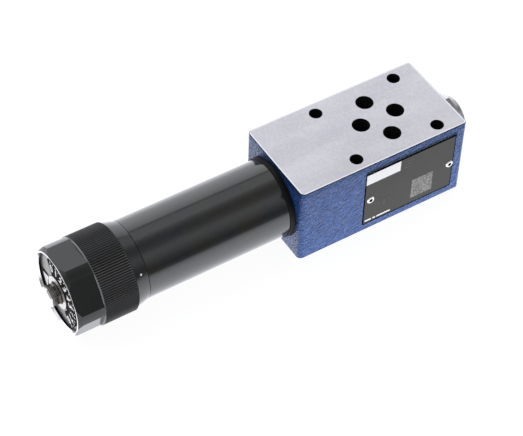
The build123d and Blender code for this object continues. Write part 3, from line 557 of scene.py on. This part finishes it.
def anodised(name, shine, gloss, edge_tone, edge_share):
    """Black anodised aluminium: dark layer, faint lathe marks, edges a little lighter."""
    made, tree, shader = new_material(name, {"IOR": 1.76, "Specular IOR Level": shine})
    place = node(tree, "TexCoord").outputs["Object"]
    lathe = place_effect(tree, turned, {"Place": place, "Axis height": axis_height, "Pitch": 0.22 * MM})
    cloud = place_effect(tree, mottle, {"Place": place, "Size": 7 * MM, "Fine": 3.0})["Tone"]
    tone = sums(tree, "MULTIPLY", lathe["Marks"], 0.4)
    tone = sums(tree, "ADD", tone, sums(tree, "MULTIPLY", cloud, 0.6))
    layer = colours(tree, tone, (0.30, anodised_shade), (0.70, anodised_tone))
    rim = place_effect(tree, worn_edge, {"Limit": 0.2})["Mask"]
    layer = mixed(tree, sums(tree, "MULTIPLY", rim, edge_share), layer, edge_tone)
    tree.links.new(layer, shader.inputs["Base Color"])
    tree.links.new(rise(tree, tone, 0.3, 0.7, gloss - 0.02, gloss + 0.03), shader.inputs["Roughness"])
    soft_edge = node(tree, "Bevel", {"Radius": 0.06 * MM}, samples=4).outputs["Normal"]
    height = {"Height": lathe["Marks"], "Normal": soft_edge, "Strength": 0.10, "Distance": 0.01 * MM}
    tree.links.new(node(tree, "Bump", height).outputs[0], shader.inputs["Normal"])
    return made, tree, shader, lathe


housing_black, tree, shader, lathe = anodised(
    "housing_black", housing_shine, housing_gloss, housing_edge, housing_edge_share
)
place = node(tree, "TexCoord").outputs["Object"]
blotch = place_effect(
    tree, mottle, {"Place": place, "Size": 1.6 * MM, "Stretch": (0.8, 1.0, 1.0), "Fine": 3.0}
)["Tone"]
slow = place_effect(tree, mottle, {"Place": place, "Size": 16 * MM, "Fine": 1.0})["Tone"]
tint = mixed(tree, rise(tree, slow, 0.40, 0.60), housing_cool, housing_warm)
layer = mixed(tree, housing_tint_share, shader.inputs["Base Color"].links[0].from_socket, tint)
layer = mixed(tree, rise(tree, blotch, 0.30, 0.70, 0.0, housing_cloud_share), layer, housing_cloud)
tree.links.new(layer, shader.inputs["Base Color"])
shader.inputs["Specular Tint"].default_value = (*housing_sheen, 1.0)
dress("spring_housing", housing_black)
ring_black, tree, shader = new_material("ring_black", {"IOR": 1.45, "Specular IOR Level": 0.25})
place = node(tree, "TexCoord").outputs["Object"]
cloud = place_effect(tree, mottle, {"Place": place, "Size": 1.5 * MM, "Fine": 3.0})["Tone"]
ring_tone = colours(tree, cloud, (0.3, (0.004, 0.004, 0.004)), (0.7, (0.009, 0.008, 0.007)))
tree.links.new(ring_tone, shader.inputs["Base Color"])
tree.links.new(rise(tree, cloud, 0.3, 0.7, 0.50, 0.62), shader.inputs["Roughness"])
dress("root_ring", ring_black)


# Knob. Turned, knurled and milled from aluminium bar and anodised black; the front rim is faced bright
# afterwards, and the knurl's ridges are rubbed a little grey. The knurl's front edge is lightened as a
# painted highlight, and its grooves and the recess wall by the mouth are darkened as painted shade.
knob_low, knob_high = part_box("knob")
rim_inner, mouth_outer, rim_outer = 17.22 * MM, 17.7 * MM, 18.37 * MM
rim_depth = 1.25 * MM
rim_tone = (0.99, 0.98, 0.97)
knurl_radius = (knob_high.z - knob_low.z) / 2
knurl_front = knob_low.x + 11.8 * MM
knurl_back = knurl_front + 15.8 * MM
ridge_depth, ridge_top = 0.45 * MM, 0.18 * MM
knurl_highlight_width = 0.42 * MM
wall_dark, wall_light = 1.9 * MM, 2.5 * MM    # painted shade: the recess wall is black by the mouth, greyer by the dial
wall_shade_black, wall_grey = (0.003, 0.003, 0.003), (0.20, 0.20, 0.195)
rim_soft, wall_soft = 0.02 * MM, 0.1 * MM
groove_shade_black, groove_shade_share = (0.002, 0.002, 0.002), 0.8
ridge_grey, ridge_share = (0.115, 0.115, 0.112), 0.85
edge_highlight_grey, edge_highlight_share = (0.34, 0.34, 0.34), 0.9
knurl_dull, rim_dull = 0.22, 0.08
knob_shine, knob_gloss = 0.37, 0.16
knob_edge, knob_edge_share = (0.20, 0.20, 0.20), 0.35
knob_black, tree, shader, lathe = anodised("knob_black", knob_shine, knob_gloss, knob_edge, knob_edge_share)
wear_and_painted_light = shader.inputs["Base Color"].links[0].from_socket
in_depth = between(tree, lathe["Along"], knob_low.x - 1 * MM, knob_low.x + rim_depth, rim_soft)
forward = node(tree, "SeparateXYZ", {0: node(tree, "TexCoord").outputs["Normal"]}).outputs["X"]
facing_front = rise(tree, forward, -0.8, -0.95)
reach = rise(tree, facing_front, 0.0, 1.0, mouth_outer, rim_outer)
in_width = between(tree, lathe["Radius"], rim_inner, reach, rim_soft)
front_rim = sums(tree, "MULTIPLY", in_depth, in_width)
knurled = between(tree, lathe["Along"], knurl_front, knurl_back)
# painted highlight along the knurl's front edge
front_edge_highlight = between(tree, lathe["Along"], knurl_front, knurl_front + knurl_highlight_width)
ridge = rise(tree, lathe["Radius"], knurl_radius - ridge_top, knurl_radius)
ridges = sums(tree, "MULTIPLY", knurled, ridge)
# painted shade in the knurl's grooves
groove_shade_mask = sums(tree, "SUBTRACT", knurled, ridges)
wear_and_painted_light = mixed(tree, sums(tree, "MULTIPLY", groove_shade_mask, groove_shade_share), wear_and_painted_light, groove_shade_black)
wear_and_painted_light = mixed(tree, sums(tree, "MULTIPLY", ridges, ridge_share), wear_and_painted_light, ridge_grey)
wear_and_painted_light = mixed(tree, sums(tree, "MULTIPLY", front_edge_highlight, edge_highlight_share), wear_and_painted_light, edge_highlight_grey)
wear_and_painted_light = mixed(tree, front_rim, wear_and_painted_light, rim_tone)
# painted shade on the recess wall by the mouth, going grey towards the dial
recess_wall = rise(tree, lathe["Radius"], rim_inner + wall_soft, rim_inner)
recess_wall = sums(tree, "MULTIPLY", recess_wall, sums(tree, "SUBTRACT", 1.0, front_rim))
greyer = rise(tree, lathe["Along"], knob_low.x + wall_dark, knob_low.x + wall_light)
wall_tone = mixed(tree, greyer, wall_shade_black, wall_grey)
wall_shade_mask = sums(tree, "MULTIPLY", recess_wall, sums(tree, "SUBTRACT", 1.0, greyer))
wear_and_painted_light = mixed(tree, recess_wall, wear_and_painted_light, wall_tone)
tree.links.new(wear_and_painted_light, shader.inputs["Base Color"])
tree.links.new(sums(tree, "MAXIMUM", front_rim, wall_shade_mask), shader.inputs["Metallic"])
dull = shader.inputs["Roughness"].links[0].from_socket
dull = sums(tree, "ADD", dull, sums(tree, "MULTIPLY", knurled, knurl_dull))
dull = sums(tree, "ADD", dull, sums(tree, "MULTIPLY", front_rim, rim_dull))
tree.links.new(dull, shader.inputs["Roughness"])
dress("knob", knob_black)


# Index dot. A drop of white paint, put on the knob's coned back after anodising. It dries to a low dome and
# shows how far the knob is turned.
dot_along = -123.25 * MM
dot_angle = radians(150)
dot_radius = 0.5 * MM
dot_height = 0.06 * MM
cone_front_r = knurl_radius - ridge_depth
cone_back_r = 17.6 * MM


def paint_dot(name):
    """A low dome on the cone: a disc grid lifted by height times one minus share squared, closed below."""
    slope = (cone_front_r - cone_back_r) / (knurl_back - knob_high.x)
    base_r = cone_back_r + slope * (dot_along - knob_high.x)
    outward = Vector((-slope, cos(dot_angle), sin(dot_angle))).normalized()
    along = Vector((1.0, slope * cos(dot_angle), slope * sin(dot_angle))).normalized()
    side = outward.cross(along)
    centre = Vector((dot_along, base_r * cos(dot_angle), axis_height + base_r * sin(dot_angle)))
    rings, spokes = 5, 24
    share = np.repeat(np.linspace(1.0, 0.2, rings), spokes)
    angle = np.tile(np.arange(spokes) * 2 * pi / spokes, rings)
    lift = dot_height * (1 - share ** 2)
    spread = np.cos(angle)[:, None] * np.array(along) + np.sin(angle)[:, None] * np.array(side)
    flat = share[:, None] * dot_radius * spread
    points = np.array(centre) + flat + lift[:, None] * np.array(outward)
    top = np.array(centre + outward * dot_height)
    foot = np.array(centre - outward * 0.02 * MM)
    points = np.vstack([points, top, foot])
    ring, spoke = np.meshgrid(np.arange(rings - 1), np.arange(spokes), indexing="ij")
    a = (ring * spokes + spoke).ravel()
    b = (ring * spokes + (spoke + 1) % spokes).ravel()
    quads = np.stack([a, b, b + spokes, a + spokes], 1).tolist()
    last = (rings - 1) * spokes
    caps = [(last + i, last + (i + 1) % spokes, rings * spokes) for i in range(spokes)]
    under = [((i + 1) % spokes, i, rings * spokes + 1) for i in range(spokes)]
    return mesh_piece(name, points, quads + caps + under, smooth=True)


dot = paint_dot("index_dot")
dot.data.materials.append(ink_white)
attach(dot, "knob_group")


# Dial. An aluminium disc on the floor of the knob's recess: a raised black band carries the white numbers
# and ticks, and the low part beside it is plain but for a white field with a black bar.
dial_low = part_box("dial_disc")[0]
dial_ink = 0.03 * MM
dial_shine = 0.02                  # only for the black parts: the rest is metal
band_rise = 1.75 * MM
hub_ring = 8.25 * MM
number_radius = 11.7 * MM
number_size, number_weight = 4.7 * MM, 0.13 * MM
number_count = 9
number_first, number_step = 108.0, -18.5
tick_outer, tick_long, tick_short = 15.2 * MM, 1.2 * MM, 0.7 * MM
ticks_between = 1
tick_width = 0.5 * MM
field_inner, field_outer = 11.0 * MM, 16.4 * MM
field_end, field_sectors = 222.0, 14
edge_inner, edge_outer, edge_width = 10.5 * MM, 14.9 * MM, 0.8 * MM
bar_start, bar_end = 184.5, 193.0


def arc_slabs(name, arcs, back_x, thickness):
    """Flat rings' sectors facing -X: a section of inner and outer radius carried round its arc, closed."""
    points, faces, first = [], [], 0
    corner = np.arange(4)
    section_x = back_x - thickness * np.array([0, 0, 1, 1])
    for inner, outer, start, end in arcs:
        steps = max(2, int(abs(end - start) / 2) + 1)
        angle = np.radians(np.linspace(max(start, end), min(start, end), steps))[:, None]
        radius = np.array([inner, outer, outer, inner])
        x = np.broadcast_to(section_x, (steps, 4))
        points.append(np.stack([x, -radius * np.cos(angle), axis_height + radius * np.sin(angle)], 2))
        row = first + 4 * np.arange(steps - 1)[:, None]
        here, beside = row + corner, row + (corner + 1) % 4
        faces += np.stack([here, beside, beside + 4, here + 4], 2).reshape(-1, 4).tolist()
        faces += [(first + corner[::-1]).tolist(), (first + 4 * (steps - 1) + corner).tolist()]
        first += 4 * steps
    return mesh_piece(name, np.concatenate([ring.reshape(-1, 3) for ring in points]), faces)


def dial_numbers(name):
    """The numbers as thin solid figures, tops outward, turned to face -X and set round the scale."""
    points, faces, first = [], [], 0
    for i in range(number_count):
        text = bpy.data.curves.new("figure", "FONT")
        text.body = str(i)
        text.size = number_size
        text.align_x = "CENTER"
        text.align_y = "CENTER"
        text.extrude = dial_ink / 2
        text.offset = number_weight
        holder = bpy.data.objects.new("figure", text)
        scene.collection.objects.link(holder)
        bpy.context.view_layer.update()
        figure = bpy.data.meshes.new_from_object(holder)
        angle = radians(number_first + i * number_step)
        facing = Matrix(((0, 0, -1), (-1, 0, 0), (0, 1, 0))).to_4x4()
        where = Matrix.Translation((dial_low.x - dial_ink * 0.5, 0, axis_height))
        out = Matrix.Translation((number_radius * cos(angle), number_radius * sin(angle), 0))
        figure.transform(where @ facing @ out @ Matrix.Rotation(angle - pi / 2, 4, "Z"))
        places = np.empty(3 * len(figure.vertices))
        figure.vertices.foreach_get("co", places)
        points.append(places.reshape(-1, 3))
        faces += [(first + np.array(face.vertices)).tolist() for face in figure.polygons]
        first += len(figure.vertices)
        bpy.data.objects.remove(holder)
        bpy.data.meshes.remove(figure)
    return mesh_piece(name, np.concatenate(points), faces)


dial_silver, tree, shader = new_material("dial_silver", {"IOR": 1.5, "Specular IOR Level": dial_shine})
place = node(tree, "TexCoord").outputs["Object"]
lathe = place_effect(tree, turned, {"Place": place, "Axis height": axis_height, "Pitch": 0.15 * MM})
cloud = place_effect(tree, mottle, {"Place": place, "Size": 2.5 * MM, "Fine": 2.0})["Tone"]
tone = sums(tree, "ADD", sums(tree, "MULTIPLY", lathe["Marks"], 0.5), sums(tree, "MULTIPLY", cloud, 0.5))
silver = colours(tree, tone, (0.3, (0.31, 0.31, 0.30)), (0.7, (0.40, 0.40, 0.39)))
raised = rise(tree, lathe["Along"], dial_low.x + band_rise, dial_low.x + band_rise - 0.05 * MM)
raised = sums(tree, "MAXIMUM", raised, rise(tree, lathe["Radius"], hub_ring, hub_ring - 0.05 * MM))
black = colours(tree, cloud, (0.3, (0.008, 0.008, 0.008)), (0.7, (0.016, 0.016, 0.015)))
tree.links.new(mixed(tree, raised, silver, black), shader.inputs["Base Color"])
tree.links.new(sums(tree, "SUBTRACT", 1.0, raised), shader.inputs["Metallic"])
gloss = rise(tree, tone, 0.3, 0.7, 0.36, 0.44)
tree.links.new(sums(tree, "ADD", gloss, sums(tree, "MULTIPLY", raised, 0.20)), shader.inputs["Roughness"])
bumped = node(tree, "Bump", {"Height": lathe["Marks"], "Strength": 0.3, "Distance": 0.01 * MM})
tree.links.new(bumped.outputs[0], shader.inputs["Normal"])
dress("dial_disc", dial_silver)

dial_black, tree, shader = new_material("dial_black", {"IOR": 1.5, "Specular IOR Level": dial_shine})
place = node(tree, "TexCoord").outputs["Object"]
cloud = place_effect(tree, mottle, {"Place": place, "Size": 0.6 * MM, "Fine": 3.0})["Tone"]
black = colours(tree, cloud, (0.3, (0.010, 0.010, 0.010)), (0.7, (0.020, 0.020, 0.019)))
tree.links.new(black, shader.inputs["Base Color"])
tree.links.new(rise(tree, cloud, 0.3, 0.7, 0.45, 0.55), shader.inputs["Roughness"])

ticks = []
for i in range((number_count - 1) * (ticks_between + 1) + 1):
    middle = number_first + i * number_step / (ticks_between + 1)
    half = degrees(tick_width / 2 / tick_outer)
    length = tick_long if i % (ticks_between + 1) == 0 else tick_short
    ticks.append((tick_outer - length, tick_outer, middle - half, middle + half))
tick_marks = arc_slabs("dial_ticks", ticks, dial_low.x, dial_ink)
numbers = dial_numbers("dial_numbers")
low_face = dial_low.x + band_rise
turns = np.linspace(bar_end, field_end, field_sectors + 1)
sectors = list(zip(np.linspace(edge_inner, edge_outer, field_sectors), turns, turns[1:]))
bars = [(field_inner, field_outer, bar_start, bar_end)]
bars += [(inner, inner + edge_width, start, end) for inner, start, end in sectors]
bar = arc_slabs("dial_bar", bars, low_face, dial_ink)
fields = [(inner + edge_width, field_outer, start, end) for inner, start, end in sectors]
field = arc_slabs("dial_field", fields, low_face, dial_ink)
dial_prints = ((bar, dial_black), (field, ink_white), (tick_marks, ink_white), (numbers, ink_white))
for piece, finish in dial_prints:
    piece.data.materials.append(finish)
    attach(piece, "knob_group")


# Steel pieces. The bare screw plugs, the hub collar, the spindle and the hidden nut, washer, clip, spool
# and spring plate are turned steel; each gets its own tone, gloss and marks.
spindle_bevel = 0.8 * MM
hub_shade_r = 5.0 * MM              # painted shade round the spindle


def turned_steel(name, shade, tone, gloss, pitch=0.18 * MM, depth=0.3):
    """Turned steel: two tones that follow the lathe marks and a slow cloud, and a softened edge."""
    made, tree, shader = new_material(name, {"Metallic": 1.0, "IOR": 2.0})
    place = node(tree, "TexCoord").outputs["Object"]
    lathe = place_effect(tree, turned, {"Place": place, "Axis height": axis_height, "Pitch": pitch})
    cloud = place_effect(tree, mottle, {"Place": place, "Size": 3 * MM, "Fine": 3.0})["Tone"]
    both = sums(tree, "MULTIPLY", lathe["Marks"], 0.5)
    both = sums(tree, "ADD", both, sums(tree, "MULTIPLY", cloud, 0.5))
    tree.links.new(colours(tree, both, (0.3, shade), (0.7, tone)), shader.inputs["Base Color"])
    tree.links.new(rise(tree, both, 0.3, 0.7, gloss - 0.03, gloss + 0.06), shader.inputs["Roughness"])
    soft_edge = node(tree, "Bevel", {"Radius": 0.12 * MM}, samples=4).outputs["Normal"]
    height = {"Height": lathe["Marks"], "Normal": soft_edge, "Strength": depth, "Distance": 0.01 * MM}
    tree.links.new(node(tree, "Bump", height).outputs[0], shader.inputs["Normal"])
    return made, tree, shader, lathe


plug_steel = turned_steel("plug_steel", (0.40, 0.40, 0.40), (0.56, 0.56, 0.56), 0.32)[0]
hub_bright, tree, shader, lathe = turned_steel("hub_bright", (0.66, 0.63, 0.62), (0.80, 0.77, 0.76), 0.34)
hub_r = (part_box("hub_collar")[1].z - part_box("hub_collar")[0].z) / 2
hub_top = shader.inputs["Base Color"].links[0].from_socket
# painted shade: a dark line round the hub's edge and near-black round the spindle
hub_edge_shade = rise(tree, lathe["Radius"], hub_r - 0.16 * MM, hub_r - 0.12 * MM)
hub_hole_shade = rise(tree, lathe["Radius"], hub_shade_r + 0.15 * MM, hub_shade_r)
hub_edge_shade = sums(tree, "MAXIMUM", hub_edge_shade, hub_hole_shade)
tree.links.new(mixed(tree, hub_edge_shade, hub_top, (0.01, 0.01, 0.01)), shader.inputs["Base Color"])
spindle_brown, tree, shader, lathe = turned_steel(
    "spindle_brown", (0.165, 0.158, 0.142), (0.245, 0.236, 0.216), 0.22
)
spindle_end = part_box("adjusting_spindle")[0].x
spindle_side = shader.inputs["Base Color"].links[0].from_socket
# painted highlight: the cut end face is bare steel lightened to near-white
cut_end_highlight = rise(tree, lathe["Along"], spindle_end + spindle_bevel, spindle_end + spindle_bevel - 0.05 * MM)
tree.links.new(mixed(tree, cut_end_highlight, spindle_side, (0.90, 0.89, 0.87)), shader.inputs["Base Color"])
machined_steel = turned_steel("machined_steel", (0.45, 0.45, 0.45), (0.62, 0.62, 0.62), 0.28)[0]
spool_steel = turned_steel(
    "spool_steel", (0.58, 0.58, 0.59), (0.72, 0.72, 0.73), 0.14, pitch=0.1 * MM, depth=0.15
)[0]
spring_steel = turned_steel(
    "spring_steel", (0.11, 0.11, 0.115), (0.22, 0.22, 0.225), 0.36, pitch=0.6 * MM
)[0]
steel_pieces = {
    "end_plug": plug_steel,
    "gauge_plug": plug_steel,
    "hub_collar": hub_bright,
    "adjusting_spindle": spindle_brown,
    "adjusting_nut": machined_steel,
    "thrust_washer": machined_steel,
    "spindle_clip": spring_steel,
    "knob_set_screw": spring_steel,
    "spring_plate": machined_steel,
    "pilot_orifice": machined_steel,
    "control_spool": spool_steel,
    "main_spring": spring_steel,
}
for name, finish in steel_pieces.items():
    dress(name, finish)


# Seals. Moulded nitrile rubber rings, lying in the block's round seats and in the turned parts' grooves.
# They are black and matt, with the bloom and fine flow marks of the mould.
seal_rubber, tree, shader = new_material("seal_rubber", {"IOR": 1.5, "Specular IOR Level": 0.4})
place = node(tree, "TexCoord").outputs["Object"]
bloom = place_effect(tree, mottle, {"Place": place, "Size": 1.2 * MM, "Fine": 4.0})["Tone"]
rubber = colours(tree, bloom, (0.3, (0.010, 0.010, 0.010)), (0.7, (0.026, 0.026, 0.027)))
tree.links.new(rubber, shader.inputs["Base Color"])
tree.links.new(rise(tree, bloom, 0.3, 0.7, 0.50, 0.68), shader.inputs["Roughness"])
bumped = node(tree, "Bump", {"Height": bloom, "Strength": 0.3, "Distance": 0.02 * MM})
tree.links.new(bumped.outputs[0], shader.inputs["Normal"])
for name in ("port_seals", "housing_seal", "spindle_seal", "end_plug_seal", "gauge_plug_seal"):
    dress(name, seal_rubber)
